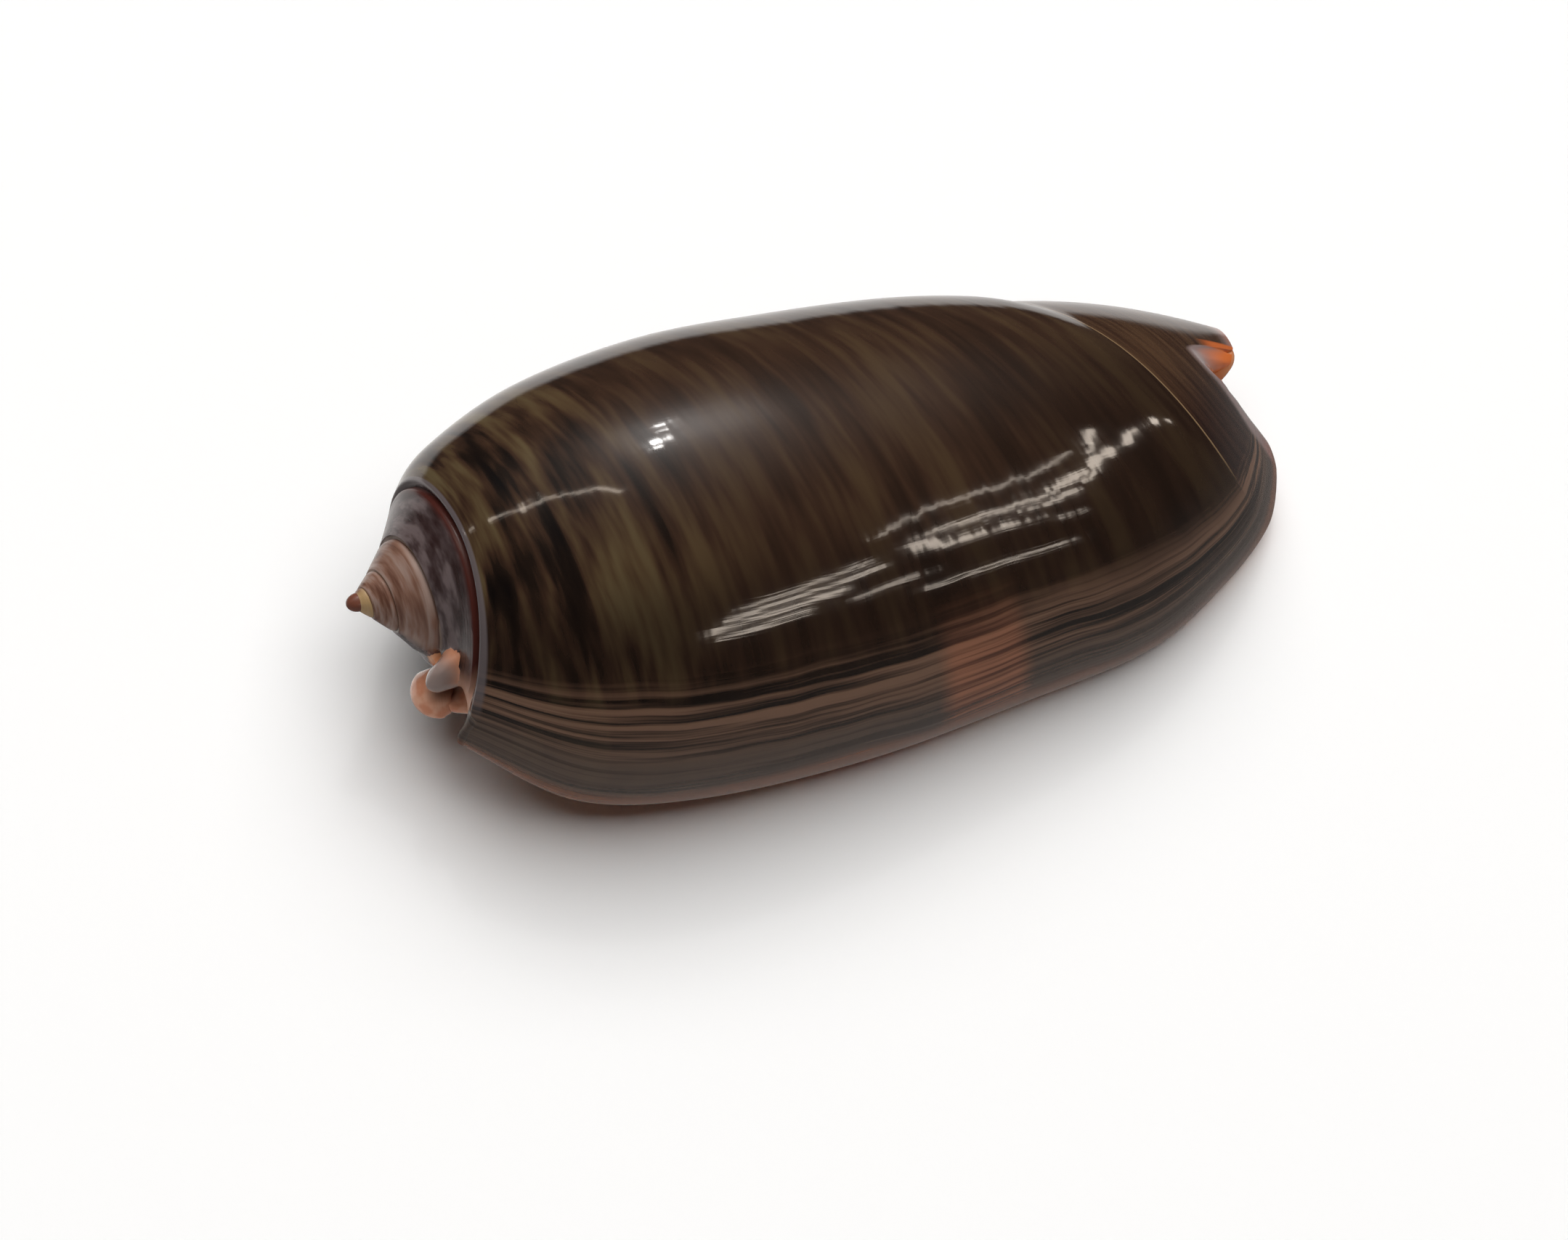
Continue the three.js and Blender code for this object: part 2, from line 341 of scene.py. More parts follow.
def inner_section(angle):
    outer = folded(outer_profile(angle, 1.0, core_end(angle + TURN)), angle)
    under_spire = 1 - ease((angle - SPIRE_END_ANGLE + TURN) / COVER_SPAN)
    lowest = (spire_height(outer[:, 1]) + COVER_DEPTH) * under_spire
    outer[:, 0] = np.maximum(outer[:, 0], lowest)
    outer = inset(outer, SINK_DEPTH * ease((angle - SINK_ANGLE) / SINK_SPAN))
    return whorl_section(outer, wall_at(angle), 1.0, CORE_GAP)


# Outer whorl: filled at first, then a thin wall that ends in the rounded lip.
WHORL_START_ANGLE = -233.0
WHORL_RISE_ANGLE = 6.0
HOLLOW_FULL_ANGLE = -30.0
LIP_ROUND_ANGLE = 3.2
LIP_ROUND_STEPS = 8
WHORL_STEP = 1.25
AXIS_GAP = 0.5

# Canal behind the notch: where it fades, the rows that it fills, and how far it covers the core's end.
CANAL_END_ANGLE = 26.0
CANAL_FADE = 30.0
CANAL_START_ROW = BODY_COUNT + 6
CANAL_ROWS = 8
CUT_ANGLE = NOTCH_ANGLES[0] - 2
CUT_SPAN = 8.0
CORE_COVER = 0.1

# Back corner of the lip: thinner and rounded off over its last rows.
THINNING = 0.75
THINNING_ANGLE = 106.0
THINNING_SPAN = 18.0
THINNING_ROWS = 14
CORNER_ANGLE = 14.0
CORNER_ROUND = 1.2
CORNER_ROWS = 10


def notch_share(angle):
    return np.interp(angle + NOTCH_BLUR, NOTCH_ANGLES, NOTCH_SHARES).mean()


def outer_section(angle):
    outer = folded(outer_profile(angle, notch_share(angle)), angle)
    outer = inset(outer, SINK_DEPTH * (1 - ease((angle - WHORL_START_ANGLE) / WHORL_RISE_ANGLE)))
    filled = 1 - ease((angle - HOLLOW_START_ANGLE) / (HOLLOW_FULL_ANGLE - HOLLOW_START_ANGLE))
    canal = 1 - ease((angle - CANAL_END_ANGLE) / CANAL_FADE)
    rows = np.arange(OUTER_COUNT)
    filled = np.maximum(filled, canal * ease((rows - CANAL_START_ROW) / CANAL_ROWS))
    cut = ease((angle - CUT_ANGLE) / CUT_SPAN)
    core = np.array([core_end(angle), AXIS_GAP + (tip_radius(angle) + CORE_COVER - AXIS_GAP) * cut])
    corner = np.clip((angle - LIP_ANGLE + CORNER_ANGLE) / CORNER_ANGLE, 0, 1)
    outer[:, 0] += CORNER_ROUND * (1 - math.sqrt(1 - corner * corner)) * ease(1 - rows / CORNER_ROWS)
    rounding = np.clip((angle - LIP_ANGLE + LIP_ROUND_ANGLE) / LIP_ROUND_ANGLE, 0, 1)
    fullness = math.sqrt(max(1 - rounding * rounding, 0))
    thin_corner = ease((angle - THINNING_ANGLE) / THINNING_SPAN) * ease(1 - rows / THINNING_ROWS)
    wall = wall_at(angle) * (1 - THINNING * thin_corner)
    return whorl_section(outer, wall, filled, AXIS_GAP, fullness, canal, core)


def outer_angles():
    round_start = LIP_ANGLE - LIP_ROUND_ANGLE
    steps = round((round_start - WHORL_START_ANGLE) / WHORL_STEP)
    angles = list(np.linspace(WHORL_START_ANGLE, round_start, steps + 1))
    for step in range(1, LIP_ROUND_STEPS + 1):
        angles.append(round_start + LIP_ROUND_ANGLE * math.sin(math.pi / 2 * step / LIP_ROUND_STEPS))
    return angles


MOUTH_START = 4.0
MOUTH_FADE = 26.0
LIP_COLOUR_ANGLE = 5.0


def outer_mouth(angle):
    """How far the outer whorl has the mouth's colour: beside its start, and on the lip's edge."""
    start = 1 - ease((angle - WHORL_START_ANGLE - MOUTH_START) / MOUTH_FADE)
    lip = ease((angle - LIP_ANGLE + LIP_COLOUR_ANGLE) / LIP_COLOUR_ANGLE)
    return max(start, lip)


def all_of_it(angle):
    """Share of the band and of the mouth on the inner turns."""
    return 1


inner_angles = list(np.linspace(INNER_START_ANGLE, INNER_END_ANGLE, INNER_ROWS))
inner_turns = rolled_sheet("inner_turns", inner_angles, inner_section, all_of_it, all_of_it)
shell = rolled_sheet("shell_look", outer_angles(), outer_section, notch_share, outer_mouth)

# Spire: a ribbon wound from the apex to the lip, each turn welded to the one before it.
BAND_ROWS = 18
CHANNEL_ROWS = 6
RIBBON_STEPS = 144
BAND_SWELL = 0.16
END_ROUND_ANGLE = 8.0
END_ROUND_DEPTH = 1.6
END_ROUND_POWER = 0.3
BEFORE_WIDTH = 0.12
AFTER_WIDTH = 0.08
APEX_POINT = Vector((0.3, 0, 0))
FLOOR_POINT = Vector((11.0, 0, 0))
APEX_SPREAD = 1.0


def ribbon_section(angle):
    """Across one turn of the spire: from the suture with the turn before to its own rim."""
    inner, rim = rim_radius(angle - TURN), rim_radius(angle)
    size = size_at(angle)
    lift = SPIRE_CLIMB * flare_at(angle)
    opened = ease((angle - SPIRE_END_ANGLE + TURN) / CHANNEL_OPEN_ANGLE)

    def surface(share):
        radius = inner ** (1 - share) * rim ** share
        height = spire_height(radius) * (1 - lift * ease(2 * radius / rim - 1))
        before = SUTURE_DEPTH * size / 2 * (1 - ease(share / BEFORE_WIDTH))
        after = SUTURE_DEPTH * size * (1 - ease((1 - share) / AFTER_WIDTH)) * (1 - opened)
        swell = BAND_SWELL * size * np.sin(math.pi * share) * (1 - 0.5 * opened)
        return np.column_stack([height + before + after - swell, radius])

    edge_share = 1 + math.log((rim - CHANNEL_WIDTH * size) / rim) / math.log(rim / inner)
    band = surface(np.linspace(0, edge_share, BAND_ROWS + 1))
    closed = surface(np.linspace(edge_share, 1, CHANNEL_ROWS + 1)[1:])
    edge, rim_along = band[-1], spire_height(rim) * (1 - lift)
    floor = rim_along + CHANNEL_DEPTH * size
    channel = np.array([
        (edge[0] + 0.08 * size, edge[1] + 0.07 * size),
        (edge[0] + 0.3 * size, edge[1] + 0.12 * size),
        (floor - 0.1 * size, edge[1] + 0.2 * size),
        (floor, edge[1] + 0.4 * size),
        (floor + 0.1 * size, edge[1] + 0.7 * size),
        (rim_along + 1.6 * size, rim - 0.5 * size),
    ])
    ended = np.clip((angle - SPIRE_END_ANGLE + END_ROUND_ANGLE) / END_ROUND_ANGLE, 0, 1)
    section = np.vstack([band, closed * (1 - opened) + channel * opened])
    dip = END_ROUND_DEPTH * (1 - math.sqrt(1 - ended * ended))
    section[:, 0] += dip * np.linspace(0, 1, len(section)) ** END_ROUND_POWER
    return section


def spire_piece():
    bm = bmesh.new()
    growth = bm.loops.layers.uv.new("growth")
    zone = bm.loops.layers.uv.new("zone")
    rows = SPIRE_TURNS * RIBBON_STEPS
    columns = BAND_ROWS + CHANNEL_ROWS
    start = SPIRE_END_ANGLE - SPIRE_TURNS * TURN
    angles = [start + TURN * row / RIBBON_STEPS for row in range(rows + 1)]
    sections = [ribbon_section(angle) for angle in angles]
    bmesh.ops.create_grid(bm, x_segments=rows, y_segments=columns, size=1)
    cells = {}
    for vert in bm.verts:
        row = round((vert.co.x + 1) / 2 * rows)
        column = round((vert.co.y + 1) / 2 * columns)
        cells[vert] = row, column
        vert.co = place(*sections[row][column], angles[row])
    for face in bm.faces:
        for loop in face.loops:
            row, column = cells[loop.vert]
            loop[growth].uv = (angles[row] / TURN, column / columns)
            loop[zone].uv = (0, 1)
    bmesh.ops.remove_doubles(bm, verts=bm.verts, dist=2e-4)
    border = [edge for edge in bm.edges if edge.is_boundary]
    grown = bmesh.ops.extrude_edge_only(bm, edges=border)["geom"]
    ends = [item for item in grown if isinstance(item, bmesh.types.BMVert)]
    apex_ends = [vert for vert in ends if vert.co.yz.length < APEX_SPREAD]
    floor_ends = [vert for vert in ends if vert.co.yz.length >= APEX_SPREAD]
    bmesh.ops.pointmerge(bm, verts=apex_ends, merge_co=APEX_POINT)
    bmesh.ops.pointmerge(bm, verts=floor_ends, merge_co=FLOOR_POINT)
    return piece_from("spire", bm)


spire = spire_piece()


def pillar_piece():
    """Pillar along the axis, which closes the middle of the coiled sheets."""
    bm = bmesh.new()
    bm.loops.layers.uv.new("growth")
    bm.loops.layers.uv.new("zone")
    length = CORE_LENGTH - CORE_SLANT - PILLAR_START
    middle = Matrix.Translation((PILLAR_START + length / 2, 0, 0))
    upright = middle @ Matrix.Rotation(math.radians(90), 4, "Y")
    bmesh.ops.create_cone(
        bm, cap_ends=True, segments=24, radius1=PILLAR_RADIUS, radius2=PILLAR_RADIUS,
        depth=length, matrix=upright,
    )
    return piece_from("pillar", bm)


def nub_piece():
    """Rounded first turn at the apex."""
    bm = bmesh.new()
    growth = bm.loops.layers.uv.new("growth")
    zone = bm.loops.layers.uv.new("zone")
    egg = Matrix.Diagonal((NUB_LENGTH, NUB_RADIUS, NUB_RADIUS, 1))
    shape = Matrix.Translation((NUB_LENGTH, 0, 0)) @ egg
    bmesh.ops.create_uvsphere(bm, u_segments=32, v_segments=20, radius=1, matrix=shape)
    for face in bm.faces:
        for loop in face.loops:
            loop[growth].uv = (NUB_TURN, 0.5)
            loop[zone].uv = (0, 1)
    return piece_from("nub", bm)


# Callus at the back corner of the mouth: a lobe, a pad that runs on into the mouth, and a paler fold above.
CALLUS_LUMPS = (
    {"along": 5.0, "out": 7.0, "angle": 150.0, "tilt": 0.0, "radii": (1.7, 2.0, 1.65), "mark": -1.0},
    {"along": 8.0, "out": 7.4, "angle": 146.0, "tilt": 0.0, "radii": (3.4, 2.4, 1.4), "mark": -1.0},
    {"along": 5.45, "out": 5.75, "angle": 111.5, "tilt": 15.0, "radii": (2.5, 2.3, 1.05), "mark": -2.0},
)

# How much a lump's mark changes across it, in the growth map.
LUMP_RISE = 0.15


def lump_turn(lump):
    """A lump's place and turn on the axis."""
    return (
        Matrix.Translation(place(lump["along"], lump["out"], lump["angle"]))
        @ Matrix.Rotation(math.radians(lump["angle"]), 4, "X")
        @ Matrix.Rotation(math.radians(lump["tilt"]), 4, "Y")
    )


def callus_piece(number, lump):
    bm = bmesh.new()
    growth = bm.loops.layers.uv.new("growth")
    zone = bm.loops.layers.uv.new("zone")
    bmesh.ops.create_uvsphere(bm, u_segments=40, v_segments=24, radius=1)
    for face in bm.faces:
        for loop in face.loops:
            loop[growth].uv = (loop.vert.co.x, lump["mark"] + LUMP_RISE * loop.vert.co.y)
            loop[zone].uv = (1, 0)
    bmesh.ops.scale(bm, verts=bm.verts, vec=lump["radii"])
    bm.transform(lump_turn(lump))
    return piece_from(f"callus_{number}", bm)


def united(base, tools):
    """Joins closed pieces into one, and removes the tools."""
    for tool in tools:
        join = base.modifiers.new(tool.name, "BOOLEAN")
        join.operation = "UNION"
        join.solver = "MANIFOLD"
        join.object = tool
    graph = bpy.context.evaluated_depsgraph_get()
    mesh = bpy.data.meshes.new_from_object(base.evaluated_get(graph))
    base.modifiers.clear()
    old = base.data
    base.data = mesh
    bpy.data.meshes.remove(old)
    for tool in tools:
        bpy.data.meshes.remove(tool.data)


SHARP_ANGLE = 38.0


def rested(piece):
    """Cuts the flats that the shell rests on, at the floor."""
    bm = bmesh.new()
    bm.from_mesh(piece.data)
    everything = bm.verts[:] + bm.edges[:] + bm.faces[:]
    bmesh.ops.bisect_plane(
        bm, geom=everything, dist=1e-7, plane_co=(0, 0, 0), plane_no=(0, 0, -1), clear_outer=True,
    )
    bmesh.ops.holes_fill(bm, edges=[edge for edge in bm.edges if edge.is_boundary])
    bmesh.ops.triangulate(bm, faces=[face for face in bm.faces if len(face.verts) > 4])
    for face in bm.faces:
        face.smooth = True
    for edge in bm.edges:
        edge.smooth = not edge.is_manifold or edge.calc_face_angle(0) < math.radians(SHARP_ANGLE)
    bm.to_mesh(piece.data)
    bm.free()


# Hollow creases about the callus that are rounded: place, reach, and how far the rounding spreads.
CALLUS_PLACE = (5.0, 6.6, 136.0)
CREASE_REACH = 4.4
CREASE_ANGLE = -14.0
CREASE_RINGS = 5
CREASE_ROUNDS = 30


def softened(piece):
    """Rounds the creases about the callus."""
    bm = bmesh.new()
    bm.from_mesh(piece.data)
    bmesh.ops.triangulate(bm, faces=[face for face in bm.faces if len(face.verts) > 4])
    centre = LAID_DOWN @ place(*CALLUS_PLACE)
    close = [edge for edge in bm.edges if (edge.verts[0].co - centre).length < CREASE_REACH * MM]
    hollow = math.radians(CREASE_ANGLE)
    chosen = {
        vert for edge in close if edge.is_manifold and edge.calc_face_angle_signed(0) < hollow
        for vert in edge.verts
    }
    for _ in range(CREASE_RINGS):
        chosen |= {edge.other_vert(vert) for vert in chosen for edge in vert.link_edges}
    for _ in range(CREASE_ROUNDS):
        bmesh.ops.smooth_vert(
            bm, verts=list(chosen), factor=0.5, use_axis_x=True, use_axis_y=True, use_axis_z=True,
        )
    bm.to_mesh(piece.data)
    bm.free()


lumps = [callus_piece(number, lump) for number, lump in enumerate(CALLUS_LUMPS)]
united(shell, [inner_turns, spire, pillar_piece(), nub_piece(), *lumps])
softened(shell)
rested(shell)

# Finish of the shell.


def tone(red, green, blue):
    """Screen colour, 0 to 255, as a linear colour."""
    linear = [((c / 255 + 0.055) / 1.055) ** 2.4 if c > 10 else c / 255 / 12.92 for c in (red, green, blue)]
    return (*linear, 1)


class Paint:
    """Lays out the nodes of one material, or of the room's light."""

    def __init__(self, owner):
        owner.use_nodes = True
        self.tree = owner.node_tree

    def put(self, socket, value):
        if isinstance(value, bpy.types.NodeSocket):
            self.tree.links.new(value, socket)
        else:
            socket.default_value = value

    def split(self, vector):
        node = self.tree.nodes.new("ShaderNodeSeparateXYZ")
        self.put(node.inputs[0], vector)
        return node.outputs[0], node.outputs[1], node.outputs[2]

    def map_pair(self, name):
        node = self.tree.nodes.new("ShaderNodeUVMap")
        node.uv_map = name
        return self.split(node.outputs[0])[:2]

    def coordinates(self, kind):
        return self.tree.nodes.new("ShaderNodeTexCoord").outputs[kind]

    def vector(self, operation, *vectors):
        node = self.tree.nodes.new("ShaderNodeVectorMath")
        node.operation = operation
        for socket, vector in zip(node.inputs, vectors):
            self.put(socket, vector)
        return node.outputs["Value"]

    def math(self, operation, first, second=0.0):
        node = self.tree.nodes.new("ShaderNodeMath")
        node.operation = operation
        self.put(node.inputs[0], first)
        self.put(node.inputs[1], second)
        return node.outputs[0]

    def span(self, value, low, high, start=0.0, end=1.0):
        """Smooth change from start to end while a value goes from low to high."""
        node = self.tree.nodes.new("ShaderNodeMapRange")
        node.interpolation_type = "SMOOTHSTEP"
        for socket, amount in zip(node.inputs, (value, low, high, start, end)):
            self.put(socket, amount)
        return node.outputs[0]

    def times(self, *values):
        product = values[0]
        for value in values[1:]:
            product = self.math("MULTIPLY", product, value)
        return product

    def plus(self, *values):
        total = values[0]
        for value in values[1:]:
            total = self.math("ADD", total, value)
        return total

    def within(self, value, low, high, soft):
        """Mask of a stretch with soft ends."""
        return self.times(
            self.span(value, low - soft, low + soft), self.span(value, high - soft, high + soft, 1.0, 0.0)
        )

    def mix(self, share, first, second):
        node = self.tree.nodes.new("ShaderNodeMix")
        node.data_type = "RGBA"
        self.put(node.inputs[0], share)
        self.put(node.inputs[6], first)
        self.put(node.inputs[7], second)
        return node.outputs[2]

    def ramp(self, value, stops):
        node = self.tree.nodes.new("ShaderNodeValToRGB")
        points = node.color_ramp.elements
        while len(points) < len(stops):
            points.new(0.5)
        for point, (position, colour) in zip(points, stops):
            point.position = position
            point.color = colour
        self.put(node.inputs[0], value)
        return node.outputs[0]

    def cloud(self, scale):
        """Soft noise by place."""
        x, y, z = (self.times(part, scale) for part in self.split(self.coordinates("Object")))
        return self.span(self.noise(x, y, z), 0.35, 0.65)

    def lump_distance(self, turn, radii):
        """Distance from an egg-shaped lump's centre, 1 on its surface."""
        node = self.tree.nodes.new("ShaderNodeMapping")
        node.vector_type = "TEXTURE"
        self.put(node.inputs["Vector"], self.coordinates("Object"))
        node.inputs["Location"].default_value = turn.translation
        node.inputs["Rotation"].default_value = turn.to_euler()
        node.inputs["Scale"].default_value = Vector(radii) * MM
        return self.vector("LENGTH", node.outputs[0])

    def noise(self, first, second, third=0.0, detail=2.0, roughness=0.5):
        """Soft noise over stretched coordinates."""
        join = self.tree.nodes.new("ShaderNodeCombineXYZ")
        for socket, value in zip(join.inputs, (first, second, third)):
            self.put(socket, value)
        node = self.tree.nodes.new("ShaderNodeTexNoise")
        self.put(node.inputs["Vector"], join.outputs[0])
        node.inputs["Scale"].default_value = 1.0
        node.inputs["Detail"].default_value = detail
        node.inputs["Roughness"].default_value = roughness
        return node.outputs[0]


def angle_turns(angle):
    return angle / TURN


finish = bpy.data.materials.new("shell_finish")
paint = Paint(finish)
surface = paint.tree.nodes["Principled BSDF"]
turn_map, along_map = paint.map_pair("growth")
mouth_map, spire_map = paint.map_pair("zone")
edge_map, _ = paint.map_pair("front")


def by_angle(start, end, first=0.0, last=1.0, turn=turn_map):
    """Smooth change from first to last between two angles of growth."""
    return paint.span(turn, angle_turns(start), angle_turns(end), first, last)


def stretched(along_scale, turn_scale, **settings):
    return paint.noise(paint.times(along_map, along_scale), paint.times(turn_map, turn_scale), **settings)


# Spiral bands: blurred streaks that circle the shell, strongest beside the shoulder.
broad = stretched(13.0, 5.0)
middle_bands = stretched(38.0, 9.0)
fine_bands = stretched(105.0, 16.0, detail=3.0)
bands = paint.plus(paint.times(broad, 0.4), paint.times(middle_bands, 0.45), paint.times(fine_bands, 0.15))
bands = paint.span(bands, 0.36, 0.64)
contrast = paint.span(along_map, 0.2, 0.4, 1.0, 0.34)
bands = paint.plus(paint.times(paint.math("SUBTRACT", bands, 0.5), contrast), 0.5)
body = paint.ramp(bands, (
    (0.0, tone(12, 8, 8)),
    (0.25, tone(30, 21, 16)),
    (0.5, tone(56, 39, 29)),
    (0.75, tone(75, 59, 41)),
    (1.0, tone(90, 77, 54)),
))

# Growth lines run along the lip: first dark and pale by turns, then a greyer ground up to the edge.
wander = paint.times(stretched(5.0, 4.0), 0.02)
line_turn = paint.plus(turn_map, wander)
lines = paint.noise(paint.times(line_turn, 115.0), paint.times(along_map, 1.5), detail=3.0, roughness=0.6)
line_share = paint.span(lines, 0.4, 0.6)
lip_zone = by_angle(84, 96, turn=line_turn)
lip_ground = paint.mix(line_share, tone(27, 19, 15), tone(128, 98, 80))
edge_zone = by_angle(102, 114, turn=line_turn)
edge_ground = paint.mix(line_share, tone(64, 51, 44), tone(94, 78, 68))
lip_ground = paint.mix(edge_zone, lip_ground, edge_ground)
body = paint.mix(paint.times(lip_zone, 0.9), body, lip_ground)
patch = paint.times(paint.within(along_map, 0.56, 0.655, 0.015), by_angle(80, 102, turn=line_turn))
patch_colour = paint.mix(line_share, tone(92, 57, 43), tone(160, 106, 80))
body = paint.mix(paint.times(patch, 0.9), body, patch_colour)

# Painted shade: darker low on the near side and towards the front, where less light falls.
low_side_shade = paint.within(turn_map, angle_turns(60), angle_turns(84), angle_turns(10))
front_shade = paint.times(paint.span(along_map, 0.66, 0.84), by_angle(0, 40), by_angle(86, 98, 1.0, 0.0))
body = paint.mix(paint.times(paint.math("MAXIMUM", low_side_shade, front_shade), 0.5), body, tone(24, 15, 11))

# Front band between the fasciole line and the notch: redder, then a grey rim, orange at the tip.
LINE_ALONG = float(WHORL_PROFILE[-1, 0])
band_place = paint.times(paint.math("SUBTRACT", along_map, LINE_ALONG), 1 / BAND_LENGTH)
band_streaks = paint.span(stretched(32.0, 6.0, detail=3.0), 0.35, 0.65)
# Painted shade: the band is darker low on the near side, where less light falls.
band_low_shade = by_angle(28, 60)
band = paint.mix(
    band_streaks,
    paint.mix(band_low_shade, tone(52, 34, 25), tone(34, 18, 13)),
    paint.mix(band_low_shade, tone(76, 55, 39), tone(54, 34, 25)),
)
band = paint.mix(paint.times(lip_zone, 0.8), band, lip_ground)
rim_start = by_angle(30, 90, 0.9, 0.72)
front_rim = paint.mix(by_angle(94, 122), tone(138, 120, 118), tone(148, 106, 98))
band = paint.mix(paint.span(paint.math("SUBTRACT", edge_map, rim_start), 0.0, 0.12), band, front_rim)
# The tip's own orange, painted darker than the canal's face as painted shade, since more light falls on it
# from above.
tip_start = by_angle(4, 11, 0.94, 0.68)
tip_share = paint.span(paint.math("SUBTRACT", band_place, tip_start), 0.0, 0.16)
tip_share = paint.times(tip_share, by_angle(15, 18, 1.0, 0.0))
band = paint.mix(tip_share, band, tone(190, 98, 46))
body = paint.mix(paint.span(along_map, LINE_ALONG - 0.002, LINE_ALONG + 0.002), body, band)
line_gap = paint.math("ABSOLUTE", paint.math("SUBTRACT", along_map, LINE_ALONG))
line_fade = by_angle(64, 90, 0.7, 0.0)
fasciole = paint.times(paint.span(line_gap, 0.001, 0.0035, 1.0, 0.0), line_fade)
body = paint.mix(fasciole, body, tone(158, 132, 98))

# Lip edge: orange brown, wider towards the front.
edge_start = paint.span(along_map, 0.15, 0.5, angle_turns(124), angle_turns(121))
edge_share = paint.span(paint.math("SUBTRACT", line_turn, edge_start), 0.0, angle_turns(7))
body = paint.mix(paint.times(edge_share, 0.9), body, tone(132, 80, 52))

# Shoulder rim.
rim_share = paint.times(paint.span(along_map, 0.086, 0.091, 0.85, 0.0), by_angle(92, 108, 1.0, 0.0))
body = paint.mix(rim_share, body, tone(100, 92, 94))

# Mouth: orange, paler on the folds of the columella.
mouth_cloud = stretched(9.0, 6.0)
mouth = paint.mix(paint.span(mouth_cloud, 0.35, 0.65), tone(200, 112, 64), tone(220, 160, 116))
# The canal's face behind the notch: its own orange, painted brighter as painted light that stands in for
# light shining through the thin shell.
canal = paint.times(by_angle(2, 10), by_angle(50, 80, 1.0, 0.0), paint.span(edge_map, 0.9, 0.98))
mouth = paint.mix(canal, mouth, tone(226, 118, 52))
callus = paint.span(along_map, -0.8, -0.4, 1.0, 0.0)
callus_cloud = paint.cloud(900.0)
callus_colour = paint.mix(callus_cloud, tone(206, 138, 106), tone(224, 170, 142))
fold = CALLUS_LUMPS[-1]
# Painted shade: a dark line on the lobe along the crease under the fold.
fold_crease_shade = paint.span(paint.lump_distance(LAID_DOWN @ lump_turn(fold), fold["radii"]), 1.05, 1.7, 0.9, 0.0)
callus_colour = paint.mix(fold_crease_shade, callus_colour, tone(58, 42, 42))
fold_rise = paint.times(paint.math("SUBTRACT", along_map, fold["mark"]), 1 / LUMP_RISE)
fold_share = paint.times(paint.span(turn_map, -0.8, -0.2), paint.span(fold_rise, -0.2, 0.3))
fold_colour = paint.mix(fold_share, tone(148, 130, 124), tone(204, 140, 106))
# Painted shade on the fold's lower side, along the crease above the lobe.
fold_colour = paint.mix(paint.span(fold_rise, -0.75, -0.4, 0.85, 0.0), fold_colour, tone(58, 42, 42))
callus_colour = paint.mix(paint.span(along_map, -1.6, -1.4, 1.0, 0.0), callus_colour, fold_colour)
mouth = paint.mix(callus, mouth, callus_colour)
body = paint.mix(paint.span(mouth_map, 0.15, 0.8), body, mouth)

# Spire: pinkish brown with grey streaks, paler beside the apex, which is dark.
streaks = paint.noise(paint.times(along_map, 4.0), paint.times(turn_map, 4.0), detail=3.0)
early = paint.ramp(paint.span(streaks, 0.3, 0.7), (
    (0.0, tone(96, 64, 51)),
    (0.45, tone(130, 97, 82)),
    (1.0, tone(152, 130, 120)),
))
first_turns = paint.within(turn_map, angle_turns(-1095), angle_turns(-930), 0.1)
early = paint.mix(paint.times(first_turns, 0.8), early, tone(184, 154, 108))
early = paint.mix(by_angle(-1130, -1090, 1.0, 0.0), early, tone(112, 68, 54))

# Its last turn is greyer, with dark flames towards a red-brown channel.
flames = paint.noise(paint.times(along_map, 4.5), paint.times(turn_map, 13.0), detail=3.0)
flame_share = paint.plus(flames, paint.times(along_map, -0.22))
last = paint.ramp(paint.span(flame_share, 0.24, 0.56), (
    (0.0, tone(48, 29, 28)),
    (0.5, tone(74, 60, 60)),
    (1.0, tone(106, 92, 92)),
))
last_turn = by_angle(-250, -225)
spire_colour = paint.mix(last_turn, early, last)
inner_line = paint.span(along_map, 0.03, 0.09, 1.0, 0.0)
spire_colour = paint.mix(paint.times(inner_line, 0.4), spire_colour, tone(142, 118, 90))
suture = paint.math("MAXIMUM", paint.span(along_map, 0.0, 0.03, 1.0, 0.0), paint.span(along_map, 0.95, 1.0))
spire_colour = paint.mix(paint.times(suture, 0.7), spire_colour, tone(66, 38, 30))
channel = paint.times(paint.span(along_map, 0.68, 0.78), last_turn)
spire_colour = paint.mix(channel, spire_colour, tone(70, 32, 26))
end_of_band = paint.times(
    paint.span(paint.plus(turn_map, paint.times(along_map, 0.09)), angle_turns(110), angle_turns(128)),
    paint.span(along_map, 0.1, 0.35),
)
spire_colour = paint.mix(end_of_band, spire_colour, tone(186, 140, 116))
body = paint.mix(spire_map, body, spire_colour)

paint.put(surface.inputs["Base Color"], body)
surface.inputs["IOR"].default_value = 1.5
surface.inputs["Specular IOR Level"].default_value = 0.45

# Gloss: smooth all over, a little duller on the spire and at the lip's back corner.
corner = paint.times(paint.span(along_map, 0.079, 0.087, 1.0, 0.0), by_angle(104, 116))
gloss = paint.plus(
    0.06, paint.times(fine_bands, 0.04), paint.times(spire_map, 0.16), paint.times(corner, 0.5),
)
paint.put(surface.inputs["Roughness"], gloss)

